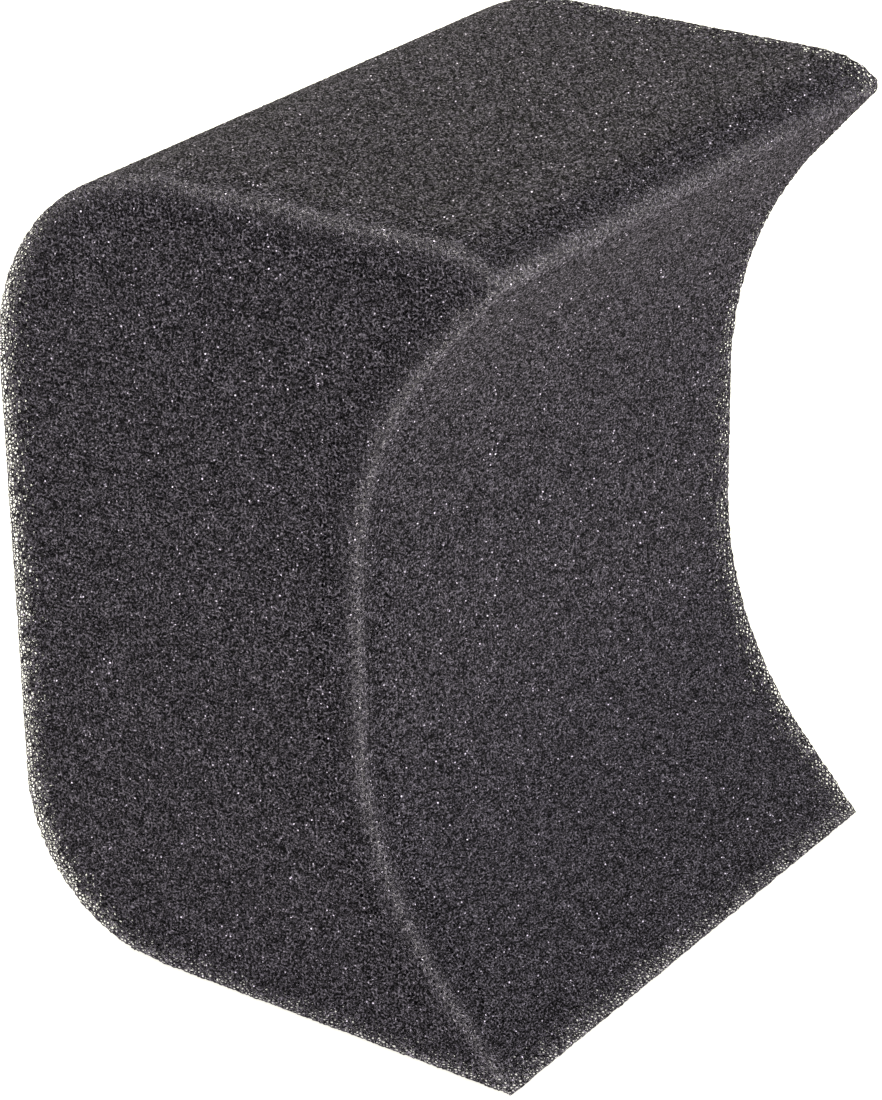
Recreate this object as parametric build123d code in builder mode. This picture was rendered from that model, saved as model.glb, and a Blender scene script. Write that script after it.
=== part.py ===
from build123d import *

import os
from math import cos, radians, sin, tan

# Sponge filter: the replaceable foam block of an aquarium filter.
#
# One block of fine open-cell foam, cut from a bun as a prism of constant section. It stands on its flat
# bottom. Its outer side is flat, with two large round corners. Its inner side is a flared hollow, which
# lies against the round filter body that the block is pressed onto.
#
# Frame: +Z up, +Y along the prism, +X out of the hollow. The origin is the centre of the bottom of the
# bounding box. All lengths are in millimetres and all angles in degrees.

# Driving dimensions
height = 102.0  # bottom to top
length = 80.0  # between the two cut ends
web = 51.2  # outer side to the floor of the hollow
upper_corner_radius = 26.7  # outer side into the top
lower_corner_radius = 19.8  # outer side into the bottom
nose_radius = 12.8  # top into the upper lip of the hollow
nose_reach = 75.5  # outer side to where the nose's full round would end
hollow_middle = 49.6  # height of the hollow's middle
hollow_floor = 17.6  # straight floor of the hollow
shoulder_radius = 47.0  # floor of the hollow into each flare
flare_angle = 41.5  # each flare, from the vertical
lip_round = 1.2  # softened edge of the upper lip

# The hollow: floor, then a shoulder and a straight flare at each end
flare = radians(flare_angle)
floor_low = hollow_middle - hollow_floor / 2
floor_high = hollow_middle + hollow_floor / 2
shoulder_depth = shoulder_radius * (1 - cos(flare))
shoulder_rise = shoulder_radius * sin(flare)
flare_start = web + shoulder_depth
width = flare_start + (floor_low - shoulder_rise) * tan(flare)  # outer side to the sharp lower lip

# The upper flare runs on until it meets the nose's round
nose_centre = Vector(nose_reach - nose_radius, height - nose_radius)
upper_flare_start = Vector(flare_start, floor_high + shoulder_rise)
flare_direction = Vector(sin(flare), cos(flare))
from_nose = upper_flare_start - nose_centre
along = from_nose.dot(flare_direction)
upper_flare_length = (along**2 - from_nose.dot(from_nose) + nose_radius**2) ** 0.5 - along
upper_lip = upper_flare_start + flare_direction * upper_flare_length

os.makedirs("parts", exist_ok=True)

# The section is drawn with the outer side on the sketch's Y axis, and extruded towards -Y
section_plane = Plane(origin=(-width / 2, length / 2, 0), x_dir=(1, 0, 0), z_dir=(0, -1, 0))

with BuildPart() as foam_block:
    with BuildSketch(section_plane) as section:
        with BuildLine():
            bottom = Line((lower_corner_radius, 0), (width, 0))
            lower_flare = Line(bottom @ 1, (flare_start, floor_low - shoulder_rise))
            lower_shoulder = RadiusArc(lower_flare @ 1, (web, floor_low), shoulder_radius)
            floor = Line(lower_shoulder @ 1, (web, floor_high))
            upper_shoulder = RadiusArc(floor @ 1, upper_flare_start, shoulder_radius)
            upper_flare = Line(upper_shoulder @ 1, upper_lip)
            nose = RadiusArc(upper_flare @ 1, (nose_centre.X, height), -nose_radius)
            top = Line(nose @ 1, (upper_corner_radius, height))
            upper_corner = RadiusArc(top @ 1, (0, height - upper_corner_radius), -upper_corner_radius)
            outer_side = Line(upper_corner @ 1, (0, lower_corner_radius))
            lower_corner = RadiusArc(outer_side @ 1, bottom @ 0, -lower_corner_radius)
        make_face()
        fillet(vertices().sort_by_distance(upper_lip)[0], lip_round)
    extrude(amount=length)

foam_block.part.label = "foam_block"
export_step(foam_block.part, "parts/foam_block.step")
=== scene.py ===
import itertools
import math

import bpy
import numpy as np
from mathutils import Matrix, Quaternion, Vector
from mathutils.bvhtree import BVHTree
from mathutils.kdtree import KDTree


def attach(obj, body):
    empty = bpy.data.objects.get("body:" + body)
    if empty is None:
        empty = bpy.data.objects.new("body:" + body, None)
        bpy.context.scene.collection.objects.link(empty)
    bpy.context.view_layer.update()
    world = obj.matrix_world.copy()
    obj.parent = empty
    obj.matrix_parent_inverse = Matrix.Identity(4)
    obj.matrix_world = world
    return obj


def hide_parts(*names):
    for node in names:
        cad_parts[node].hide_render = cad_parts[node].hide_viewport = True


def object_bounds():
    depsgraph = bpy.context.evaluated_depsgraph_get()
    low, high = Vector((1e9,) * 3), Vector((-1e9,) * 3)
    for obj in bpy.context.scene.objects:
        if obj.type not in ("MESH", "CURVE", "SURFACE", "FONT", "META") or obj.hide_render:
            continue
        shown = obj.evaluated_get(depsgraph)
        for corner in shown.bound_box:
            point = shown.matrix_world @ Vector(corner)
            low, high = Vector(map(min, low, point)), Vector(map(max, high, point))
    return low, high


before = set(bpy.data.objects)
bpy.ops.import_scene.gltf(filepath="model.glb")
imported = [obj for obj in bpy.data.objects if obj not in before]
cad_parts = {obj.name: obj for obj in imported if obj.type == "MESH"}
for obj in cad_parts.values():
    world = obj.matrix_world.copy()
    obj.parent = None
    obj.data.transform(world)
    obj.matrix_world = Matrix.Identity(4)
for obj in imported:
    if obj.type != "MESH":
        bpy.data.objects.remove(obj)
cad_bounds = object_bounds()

# Sponge filter: one block of fine charcoal open-cell foam, shown by three meshes of one material. The skin
# is the layer of cells at the surface. The edge net is the struts inside the thin edges, where light comes
# through. The core is the dark middle behind the open cells. Lengths are in metres, in the CAD frame.

MM = 0.001
SEED = 11

# Skin
CELL = 0.54 * MM  # spacing of the cells' windows
CELL_JITTER = 0.40  # how far a cell may stray from an even grid, in cell spacings
RELAX_STEPS = 1  # smoothing steps that even out the strayed cells
RELAX_SHARE = 0.4
PIT_DEPTH = (0.22 * MM, 0.55 * MM)  # least and most depth of a cell below its struts
STRUT_JITTER = 0.03 * MM  # how unevenly the struts' junctions stand
SHARP_STEPS = 8  # smoothing steps that find the block's sharp edges
SHARP_PULL = 0.05 * MM  # how far they pull in a sharp edge at least
GLOW_POWER = 1.5  # how squarely the painted light at an edge ends
EDGE_GLOW = 0.7 * MM  # how far in from a sharp edge light is painted on the skin
REAR_FADE = 0.6  # how much weaker that painted light is at the rear end

# Open cells near the sharp edges, whose walls stop short and let light through
OPEN_REACH = 6.0 * MM  # past this distance from a sharp edge no cell is open
OPEN_WALL = 0.22  # how far the walls reach towards the cell's middle, at an edge in front
DENSE_WALL = 0.33  # the same at the rear end and the bottom, where less light comes through
BOTTOM_DENSE = 4.0 * MM  # how far up the bottom's denser look fades out
WALL_RISE = 0.05 / MM  # how fast the walls lengthen away from the edge
WALL_SPREAD = (0.7, 1.3)  # how uneven the walls of different cells are
WALL_LIMITS = (0.05, 0.95)

# Net of struts inside the sharp edges
NET_SIZE = 1.0 * MM  # one repeat of the net, which holds two cells
NET_JITTER = 0.10 * MM  # how far its nodes stray
NET_REACH = 5.0 * MM  # how far in from a sharp edge the net goes
NET_TOP = 0.08 * MM  # how deep below the surface it starts
NET_STRUT = 0.085 * MM  # width of a strut
NET_LIGHT = 3.8  # how much light is painted on the net at the edge
NET_GLOW = 3.0 * MM  # how far in that painted light reaches
SQUARE_ON = 0.99  # least cosine between a node's way to the surface and the surface's normal

# Core
CORE_GRID = 1.8 * MM  # spacing of its mesh
CORE_STEPS = 18  # smoothing steps that round the core's edges
CORE_DEPTH = 1.0 * MM  # how far inside the rounded block it lies
CORE_GLOW = 0.8  # painted light on it, where that on an edge of the skin is 1

# Foam material: how much light its struts, specks and glints reflect
# Painted into it: the glints as highlights, the dark pits as shade in the cells, and the edges' glow as
# light
FOAM_TINT = (1.0, 0.905, 1.11)
EDGE_TINT = (1.0, 0.916, 1.08)  # painted edge light's tint where its glow is 1; a stronger glow goes further
STRUT_LINE = (0.55, 0.95)  # where a strut's pale line starts and is full, from pit (0) to strut (1)
STRUT_LIGHT = 0.22
SPECK = 0.145 * MM  # size of a speck
SPECK_LIGHT = 0.25
BRIGHT_POWER = 5.0  # high, so that few struts and specks are bright
GLINT = 0.30 * MM  # size of the cell that may hold one glint, a painted highlight
GLINT_START = 0.95  # only draws above this glint
GLINT_POWER = 2.0
GLINT_LIGHT = 1.8
GLINT_RADIUS = (0.45, 0.20)  # where a glint ends and where it is full, in glint sizes
DARK = 0.003  # what the dark between them reflects: painted shade in the pits
SHADE = 0.75  # brightness of struts, specks and glints away from the edges
EDGE_SHADE = 0.5  # how much more the painted light at the edges gives them
EDGE_LIGHT = 0.031  # lightness that the painted light at the edges adds
FOAM_ROUGHNESS = 0.6
FOAM_SPECULAR = 0.05

# Floor
FLOOR_HALF = 5.0  # half its width
FLOOR_DROP = 0.3 * MM  # keeps the floor clear of the lowest struts
FLOOR_COLOUR = (0.6, 0.59, 0.55, 1)
FLOOR_ROUGHNESS = 0.8
FLOOR_GLOW_COLOUR = (1, 0.98, 0.90, 1)
FLOOR_GLOW = 0.85  # burns the floor out white, as in the photo

# Room: brighter behind the block than on the side it is seen from, with warmer light from above and behind
SEEN_SIDE = (0.45, -0.72, 0.53)
SKY = (2.4, 0.98)  # strength behind the block and on the side it is seen from
WARM_SIDE = (-0.45, 0.6, 0.66)
COOL = (1.02, 0.98, 1.16, 1)
WARM = (0.97, 1.0, 0.79, 1)

# Lamps: places and sizes in metres, power in watts
LAMP_AIM = (0, 0, 0.05)
KEY_PLACE = (-0.45, 0.25, 0.8)  # behind, above the outer side
KEY_SIZE = 0.6
KEY_POWER = 1.6
KEY_COLOUR = (1.0, 0.88, 0.72)
FILL_PLACE = (0.8, 0.1, 0.12)  # low, in front of the hollow
FILL_SIZE = 0.5
FILL_POWER = 1.4
FILL_COLOUR = (1, 1, 1)

# Camera, fitted to the photo's outlines
CAMERA_PLACE = (0.2398, -0.3379, 0.2396)
CAMERA_YAW = math.radians(-35.552)  # from +Y towards +X
CAMERA_PITCH = math.radians(25.264)  # downwards
CAMERA_ROLL = math.radians(-0.805)
CAMERA_LENS = 122.7  # in mm
CAMERA_SENSOR = 36.0  # in mm
CAMERA_CLIP = 0.01

# The Mix node's sockets for colours, which share their names with its other sockets
MIX_FACTOR = 0
MIX_FIRST = 6
MIX_SECOND = 7
MIX_RESULT = 2

scene = bpy.context.scene
rng = np.random.default_rng(SEED)


# Geometry helpers


def even_grid(source, spacing):
    """The surface of a CAD solid as an even net of quads: its vertices and its faces."""
    carrier = bpy.data.objects.new("grid", source.data.copy())
    scene.collection.objects.link(carrier)
    remesh = carrier.modifiers.new("even", "REMESH")
    remesh.mode = "VOXEL"
    remesh.voxel_size = spacing
    depsgraph = bpy.context.evaluated_depsgraph_get()
    mesh = bpy.data.meshes.new_from_object(carrier.evaluated_get(depsgraph))
    points = np.empty(len(mesh.vertices) * 3, np.float32)
    corners = np.empty(len(mesh.loops), np.int32)
    mesh.vertices.foreach_get("co", points)
    mesh.loops.foreach_get("vertex_index", corners)
    bpy.data.objects.remove(carrier)
    bpy.data.meshes.remove(mesh)
    return points.reshape(-1, 3).astype(float), corners.reshape(-1, 4)


def split_quads(quads):
    """Each quad as two triangles, along a random diagonal, so that most cells get 4 to 8 sides."""
    flip = rng.random(len(quads)) < 0.5
    quads = np.where(flip[:, None], np.roll(quads, 1, axis=1), quads)
    return np.concatenate([quads[:, [0, 1, 2]], quads[:, [0, 2, 3]]])


def neighbour_mean(values, triangles):
    """The mean of each vertex's neighbours."""
    total = np.zeros_like(values)
    count = np.zeros(len(values))
    for a, b in ((0, 1), (1, 2), (2, 0)):
        for start, end in ((a, b), (b, a)):
            for axis in range(values.shape[1]):
                total[:, axis] += np.bincount(
                    triangles[:, start], values[triangles[:, end], axis], len(values)
                )
            count += np.bincount(triangles[:, start], minlength=len(values))
    return total / count[:, None]


def smoothed(points, triangles, steps, share=0.5):
    """The points, each moved a share of the way to its neighbours' mean, for a number of steps."""
    for _ in range(steps):
        points = (1 - share) * points + share * neighbour_mean(points, triangles)
    return points


def vertex_normals(points, triangles):
    a, b, c = (points[triangles[:, k]] for k in range(3))
    face = np.cross(b - a, c - a)
    total = np.zeros_like(points)
    for k in range(3):
        for axis in range(3):
            total[:, axis] += np.bincount(triangles[:, k], face[:, axis], len(points))
    return total / np.linalg.norm(total, axis=1)[:, None]


def sharp_points(points, triangles, normals):
    """The points on the block's sharp edges, where a short smoothing pulls the surface in most."""
    soft = smoothed(points, triangles, SHARP_STEPS)
    pull = ((points - soft) * normals).sum(axis=1)[:, None]
    crest = pull > neighbour_mean(neighbour_mean(pull, triangles), triangles)
    return points[(crest & (pull > SHARP_PULL))[:, 0]]


def nearest_distance(targets, points):
    """How far each point is from the nearest target."""
    tree = KDTree(len(targets))
    for k, target in enumerate(targets):
        tree.insert(target, k)
    tree.balance()
    return np.array([tree.find(point)[2] for point in points])


def surface_tree(source):
    return BVHTree.FromObject(source, bpy.context.evaluated_depsgraph_get())


def fading(reach, width):
    """1 on a sharp edge, falling to nothing away from it."""
    return np.exp(-((reach / width) ** GLOW_POWER))


def build_mesh(name, verts, face_groups, strut, edge, lit):
    """A mesh with the foam's attributes: strut and edge (painted light) at the vertices, lit on the faces.
    """
    mesh = bpy.data.meshes.new(name)
    mesh.vertices.add(len(verts))
    mesh.vertices.foreach_set("co", verts.astype(np.float32).ravel())
    loops = np.concatenate([group.ravel() for group in face_groups])
    sizes = np.concatenate([np.full(len(group), group.shape[1]) for group in face_groups])
    mesh.loops.add(len(loops))
    mesh.loops.foreach_set("vertex_index", loops.astype(np.int32))
    mesh.polygons.add(len(sizes))
    mesh.polygons.foreach_set("loop_start", (np.cumsum(sizes) - sizes).astype(np.int32))
    mesh.polygons.foreach_set("loop_total", sizes.astype(np.int32))
    mesh.update(calc_edges=True)
    layers = (("strut", "POINT", strut), ("edge", "POINT", edge), ("lit", "FACE", lit))
    for layer_name, domain, values in layers:
        layer = mesh.attributes.new(layer_name, "FLOAT", domain)
        layer.data.foreach_set("value", values.astype(np.float32))
    return mesh


# Skin


def stray_points(points, triangles, normals, source):
    """The points of an even grid, each strayed at random along the block's surface."""
    stray = rng.normal(size=points.shape)
    stray -= (stray * normals).sum(axis=1)[:, None] * normals
    stray /= np.linalg.norm(stray, axis=1)[:, None]
    points = points + stray * (np.sqrt(rng.random(len(points))) * CELL_JITTER * CELL)[:, None]
    points = smoothed(points, triangles, RELAX_STEPS, RELAX_SHARE)
    surface = surface_tree(source)
    return np.array([surface.find_nearest(point)[0] for point in points])


def opposite_sides(start, end, point_count):
    """For each side of a triangle, the same side of the triangle across it."""
    key = start.astype(np.int64) * point_count + end
    back = end.astype(np.int64) * point_count + start
    order = np.argsort(key)
    return order[np.searchsorted(key[order], back)]


def wall_lengths(points, reach, rearward):
    """How far each cell's walls reach if it is open, from 0 at its struts to 1 at its pit."""
    bottom = np.exp(-(points[:, 2] - cad_bounds[0][2]) / BOTTOM_DENSE)
    least = OPEN_WALL + (DENSE_WALL - OPEN_WALL) * np.clip(np.maximum(rearward, bottom), 0, 1)
    wall = 1 - (1 - least) * np.exp(-reach * WALL_RISE)
    return np.clip(wall * rng.uniform(*WALL_SPREAD, len(points)), *WALL_LIMITS)


def foam_skin(source):
    """The layer of cells at the block's surface, and the points on the block's sharp edges.

    The surface is a net of triangles. Each point of the net is one cell, with its pit below it. Each
    triangle's middle is a junction of three struts, so the triangles round a point give a cell's window.
    """
    points, quads = even_grid(source, CELL)
    triangles = split_quads(quads)
    normals = vertex_normals(points, triangles)
    sharp = sharp_points(points, triangles, normals)
    reach = nearest_distance(sharp, points)
    front, rear = cad_bounds[0][1], cad_bounds[1][1]
    rearward = (points[:, 1] - front) / (rear - front)
    # Painted light near the sharp edges, fading inwards and weaker at the rear end
    edge = fading(reach, EDGE_GLOW) * (1 - REAR_FADE * rearward)
    points = stray_points(points, triangles, normals, source)

    junctions = points[triangles].mean(axis=1)
    junction_normals = normals[triangles].mean(axis=1)
    junction_edge = edge[triangles].mean(axis=1)
    junctions += junction_normals * rng.normal(scale=STRUT_JITTER, size=len(junctions))[:, None]
    depth = rng.uniform(*PIT_DEPTH, len(points))
    pits = points - normals * depth[:, None]

    # A strut crosses each side of a triangle, and one wall goes down from it to the pit at the side's start
    start = triangles.ravel()
    end = np.roll(triangles, -1, axis=1).ravel()
    owner = np.repeat(np.arange(len(triangles)), 3)
    across = opposite_sides(start, end, len(points))
    walls = np.column_stack([start + len(junctions), owner[across], owner])

    # An open cell's walls stop at a rim, which is a point on the way from each junction to the pit
    wall = wall_lengths(points, reach, rearward)
    closed_share = np.clip(reach / OPEN_REACH, 0, 1) ** 2
    opened = (rng.random(len(points)) > closed_share)[start]
    rim_side = np.flatnonzero(opened)
    cell = start[rim_side]
    share = wall[cell][:, None]
    rim = junctions[owner[rim_side]] * (1 - share) + pits[cell] * share
    rim_index = np.zeros(len(start), np.int64)
    rim_index[rim_side] = np.arange(len(rim_side)) + len(junctions) + len(pits)

    # The side after the one across starts at the same cell, so it holds the rim's next point
    beside = np.where(across % 3 == 2, across - 2, across + 1)
    rings = np.column_stack([owner[across], owner, rim_index, rim_index[beside]])[opened]
    walls = walls[~opened]

    verts = np.concatenate([junctions, pits, rim])
    strut = np.concatenate([np.ones(len(junctions)), np.zeros(len(pits)), 1 - wall[cell]])
    edges = np.concatenate([junction_edge, edge, edge[cell]])
    used = np.zeros(len(verts), bool)
    used[walls.ravel()] = True
    used[rings.ravel()] = True
    renumber = np.cumsum(used) - 1

    # A strut's two walls share one draw
    draw = rng.random(len(start))
    lit = np.where(start < end, draw, draw[across])
    lit = np.concatenate([lit[~opened], lit[opened]])
    faces = [renumber[walls], renumber[rings]]
    return build_mesh("foam_skin", verts[used], faces, strut[used], edges[used], lit), sharp


# Edge net


def kelvin_cell():
    """Nodes and struts of one repeat of a foam whose cells are packed like soap bubbles.

    The nodes' places are in repeats. A strut is its first node, its second node, and how many repeats over
    the second one lies.
    """
    width = 4  # of a repeat, in the steps that the nodes lie on
    strut_square = 2  # squared length of a strut, in the same steps
    corners = []
    for centre in ((0, 0, 0), (2, 2, 2)):
        for order in itertools.permutations((0, 1, 2)):
            for signs in itertools.product((-1, 1), repeat=3):
                corner = tuple((centre[k] + signs[k] * order[k]) % width for k in range(3))
                if corner not in corners:
                    corners.append(corner)
    struts = []
    for i, first in enumerate(corners):
        for j, second in enumerate(corners):
            for shift in itertools.product((-1, 0, 1), repeat=3):
                step = [second[k] + width * shift[k] - first[k] for k in range(3)]
                if sum(d * d for d in step) == strut_square and (i, (0, 0, 0)) < (j, shift):
                    struts.append((i, j, shift))
    return np.array(corners) / width, struts


def blocks_near(sharp, low):
    """The repeats of the net within reach of the sharp edges, and the number of each one, or -1.

    They are counted from a corner that lies a span of repeats below the edges' lowest corner on each axis.
    """
    near = np.unique(np.floor((sharp - low) / NET_SIZE).astype(int), axis=0)
    span = int(math.ceil(NET_REACH / NET_SIZE)) + 1
    steps = itertools.product(range(-span, span + 1), repeat=3)
    ball = [step for step in steps if sum(d * d for d in step) <= span * span]
    shape = near.max(axis=0) + 2 * span + 2
    inside = np.zeros(shape, bool)
    for step in ball:
        inside[tuple((near + span + np.array(step)).T)] = True
    blocks = np.argwhere(inside)
    number = np.full(shape, -1)
    number[tuple(blocks.T)] = np.arange(len(blocks))
    return blocks, number, span


def depth_below(source, nodes, reach):
    """How deep each node lies in the block, or -1 for one outside it or past the net's reach."""
    surface = surface_tree(source)
    depth = np.full(len(nodes), -1.0)
    for k in np.flatnonzero(reach < NET_REACH):
        hit, normal, _, distance = surface.find_nearest(nodes[k])
        inward = normal.dot(hit - Vector(nodes[k]))
        depth[k] = inward if inward > SQUARE_ON * distance else -1
    return depth


def edge_net(source, sharp):
    """The net of struts inside the block's thin edges, which lets light through."""
    corners, struts = kelvin_cell()
    low = sharp.min(axis=0) - NET_SIZE
    blocks, number, span = blocks_near(sharp, low)
    nodes = (blocks[:, None, :] - span + corners[None]).reshape(-1, 3) * NET_SIZE + low
    nodes += rng.normal(scale=NET_JITTER, size=nodes.shape)

    # A node's way in from the edge is its depth, and its distance from the edge along the surface
    reach = nearest_distance(sharp, nodes)
    depth = depth_below(source, nodes, reach)
    way_in = depth + np.sqrt(np.maximum(reach**2 - depth**2, 0))
    good = (depth > NET_TOP) & (way_in < NET_REACH)

    first = []
    second = []
    for i, j, shift in struts:
        neighbour = np.minimum(blocks + np.array(shift), np.array(number.shape) - 1)
        other = number[tuple(neighbour.T)]
        start = np.arange(len(blocks)) * len(corners) + i
        end = other * len(corners) + j
        keep = (other >= 0) & good[start] & good[end]
        first.append(start[keep])
        second.append(end[keep])
    first = np.concatenate(first)
    second = np.concatenate(second)

    # Each strut is a narrow strip, turned at random about its own length
    along = nodes[second] - nodes[first]
    side = np.cross(along, rng.normal(size=along.shape))
    side *= 0.5 * NET_STRUT / np.linalg.norm(side, axis=1)[:, None]
    verts = np.concatenate(
        [nodes[first] - side, nodes[first] + side, nodes[second] + side, nodes[second] - side]
    )
    faces = np.arange(len(first))[:, None] + len(first) * np.arange(4)
    # Painted light on the net, strongest at the edge
    glow = NET_LIGHT * fading(reach, NET_GLOW)
    edge = np.concatenate([glow[first], glow[first], glow[second], glow[second]])
    return build_mesh("foam_edge_net", verts, [faces], np.ones(len(verts)), edge, rng.random(len(first)))


# Core


def foam_core(source):
    """The dark middle, seen through the open cells: the block, smaller and with round edges."""
    points, quads = even_grid(source, CORE_GRID)
    triangles = split_quads(quads)
    points = smoothed(points, triangles, CORE_STEPS)
    points = points - vertex_normals(points, triangles) * CORE_DEPTH
    # Strut 0 leaves the core the pits' painted shade, and its edge value paints light on it
    strut = np.zeros(len(points))
    edge = np.full(len(points), CORE_GLOW)
    return build_mesh("foam_core", points, [triangles], strut, edge, rng.random(len(triangles)))


# Materials


class Nodes:
    """Short calls for building one node tree."""

    def __init__(self, tree):
        self.tree = tree

    def node(self, kind, **settings):
        made = self.tree.nodes.new(kind)
        for name, value in settings.items():
            setattr(made, name, value)
        return made

    def link(self, source, target):
        """Feed a socket from another socket, or set it to a plain value."""
        if isinstance(source, bpy.types.NodeSocket):
            self.tree.links.new(source, target)
        else:
            target.default_value = source

    def attribute(self, name):
        return self.node("ShaderNodeAttribute", attribute_name=name).outputs["Fac"]

    def math(self, operation, *values):
        made = self.node("ShaderNodeMath", operation=operation)
        for socket, value in zip(made.inputs, values):
            self.link(value, socket)
        return made.outputs[0]

    def dot(self, value, towards):
        made = self.node("ShaderNodeVectorMath", operation="DOT_PRODUCT")
        self.link(value, made.inputs[0])
        self.link(towards, made.inputs[1])
        return made.outputs["Value"]

    def ramp(self, value, start, stop, to_start=0.0, to_stop=1.0, shape="LINEAR"):
        made = self.node("ShaderNodeMapRange", interpolation_type=shape)
        self.link(value, made.inputs["Value"])
        self.link(start, made.inputs["From Min"])
        self.link(stop, made.inputs["From Max"])
        self.link(to_start, made.inputs["To Min"])
        self.link(to_stop, made.inputs["To Max"])
        return made.outputs["Result"]

    def grains(self, place, size):
        """Grains of about this size: one random draw for each, and the distance from its middle."""
        made = self.node("ShaderNodeTexVoronoi", feature="F1")
        made.inputs["Scale"].default_value = 1 / size
        self.link(place, made.inputs["Vector"])
        draws = self.node("ShaderNodeSeparateColor")
        self.link(made.outputs["Color"], draws.inputs[0])
        return draws.outputs[0], made.outputs["Distance"]


def foam_material():
    material = bpy.data.materials.new("foam")
    material.use_nodes = True
    n = Nodes(material.node_tree)
    bsdf = n.tree.nodes["Principled BSDF"]
    place = n.node("ShaderNodeTexCoord").outputs["Object"]
    edge = n.attribute("edge")

    # Struts at the cut surface: thin lines, each as bright as its draw
    # Away from a strut's line the colour falls to the pit's painted shade
    line = n.ramp(n.attribute("strut"), *STRUT_LINE, shape="SMOOTHSTEP")
    # Most draws give a random grey tone; the few brightest struts carry a painted highlight
    brightness = n.math("MULTIPLY", n.math("POWER", n.attribute("lit"), BRIGHT_POWER), STRUT_LIGHT)
    surface = n.math("MULTIPLY", line, brightness)

    # Bits of deeper struts seen in the cells, as specks of all brightnesses
    speck, _ = n.grains(place, SPECK)
    deeper = n.math("MULTIPLY", n.math("POWER", speck, BRIGHT_POWER), SPECK_LIGHT)

    # A few small round glints, painted as highlights in the colour
    spark, distance = n.grains(place, GLINT)
    bright = n.math("POWER", n.ramp(spark, GLINT_START, 1.0), GLINT_POWER)
    glint = n.math("MULTIPLY", n.math("MULTIPLY", bright, GLINT_LIGHT), n.ramp(distance, *GLINT_RADIUS))

    value = n.math("ADD", n.math("ADD", surface, deeper), n.math("ADD", glint, DARK))
    # Painted light at the sharp edges: the edge attribute raises, lightens and tints the colour
    gain = n.math("MULTIPLY_ADD", edge, EDGE_SHADE, SHADE)
    value = n.math("MULTIPLY_ADD", edge, EDGE_LIGHT, n.math("MULTIPLY", value, gain))
    colour = n.node("ShaderNodeCombineColor")
    for k, (tint, edge_tint) in enumerate(zip(FOAM_TINT, EDGE_TINT)):
        share = n.math("MULTIPLY_ADD", edge, edge_tint - tint, tint)
        n.link(n.math("MULTIPLY", value, share), colour.inputs[k])
    n.link(colour.outputs[0], bsdf.inputs["Base Color"])
    bsdf.inputs["Roughness"].default_value = FOAM_ROUGHNESS
    bsdf.inputs["Specular IOR Level"].default_value = FOAM_SPECULAR
    return material


def floor_material():
    material = bpy.data.materials.new("floor")
    material.use_nodes = True
    bsdf = material.node_tree.nodes["Principled BSDF"]
    bsdf.inputs["Base Color"].default_value = FLOOR_COLOUR
    bsdf.inputs["Roughness"].default_value = FLOOR_ROUGHNESS
    bsdf.inputs["Emission Color"].default_value = FLOOR_GLOW_COLOUR
    bsdf.inputs["Emission Strength"].default_value = FLOOR_GLOW
    return material


# Surroundings


def studio_floor():
    mesh = bpy.data.meshes.new("floor")
    corners = [(x * FLOOR_HALF, y * FLOOR_HALF, 0) for x, y in ((-1, -1), (1, -1), (1, 1), (-1, 1))]
    mesh.from_pydata(corners, [], [(0, 1, 2, 3)])
    mesh.materials.append(floor_material())
    floor = bpy.data.objects.new("floor", mesh)
    scene.collection.objects.link(floor)
    floor.location.z = -FLOOR_DROP
    return floor


def studio_room():
    """A room whose light changes in strength and in colour with the direction that it comes from."""
    world = bpy.data.worlds.new("studio")
    world.use_nodes = True
    n = Nodes(world.node_tree)
    background = n.tree.nodes["Background"]
    direction = n.node("ShaderNodeTexCoord").outputs["Generated"]
    tone = n.node("ShaderNodeMix", data_type="RGBA")
    n.link(n.ramp(n.dot(direction, WARM_SIDE), -1, 1), tone.inputs[MIX_FACTOR])
    n.link(COOL, tone.inputs[MIX_FIRST])
    n.link(WARM, tone.inputs[MIX_SECOND])
    n.link(tone.outputs[MIX_RESULT], background.inputs["Color"])
    n.link(n.ramp(n.dot(direction, SEEN_SIDE), -1, 1, *SKY), background.inputs["Strength"])
    return world


def lamp(name, place, size, power, colour):
    light = bpy.data.lights.new(name, "AREA")
    light.size = size
    light.energy = power
    light.color = colour
    holder = bpy.data.objects.new(name, light)
    holder.location = place
    holder.rotation_mode = "QUATERNION"
    holder.rotation_quaternion = (Vector(LAMP_AIM) - Vector(place)).to_track_quat("-Z", "Y")
    scene.collection.objects.link(holder)


def photo_camera():
    data = bpy.data.cameras.new("camera")
    data.lens = CAMERA_LENS
    data.sensor_width = CAMERA_SENSOR
    data.clip_start = CAMERA_CLIP
    camera = bpy.data.objects.new("camera", data)
    camera.location = CAMERA_PLACE
    ahead = math.cos(CAMERA_PITCH)
    down = -math.sin(CAMERA_PITCH)
    forward = Vector((math.sin(CAMERA_YAW) * ahead, math.cos(CAMERA_YAW) * ahead, down))
    camera.rotation_mode = "QUATERNION"
    roll = Quaternion((0, 0, 1), CAMERA_ROLL)
    camera.rotation_quaternion = forward.to_track_quat("-Z", "Y") @ roll
    scene.collection.objects.link(camera)
    return camera


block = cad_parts["foam_block"]
skin, sharp_edges = foam_skin(block)
foam = foam_material()
for mesh in (skin, edge_net(block, sharp_edges), foam_core(block)):
    piece = bpy.data.objects.new(mesh.name, mesh)
    scene.collection.objects.link(piece)
    mesh.materials.append(foam)
    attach(piece, "root")
    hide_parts("foam_block")

floor = studio_floor()
scene.world = studio_room()
lamp("key", KEY_PLACE, KEY_SIZE, KEY_POWER, KEY_COLOUR)
lamp("fill", FILL_PLACE, FILL_SIZE, FILL_POWER, FILL_COLOUR)
scene.camera = photo_camera()
scene.view_settings.view_transform = "Standard"
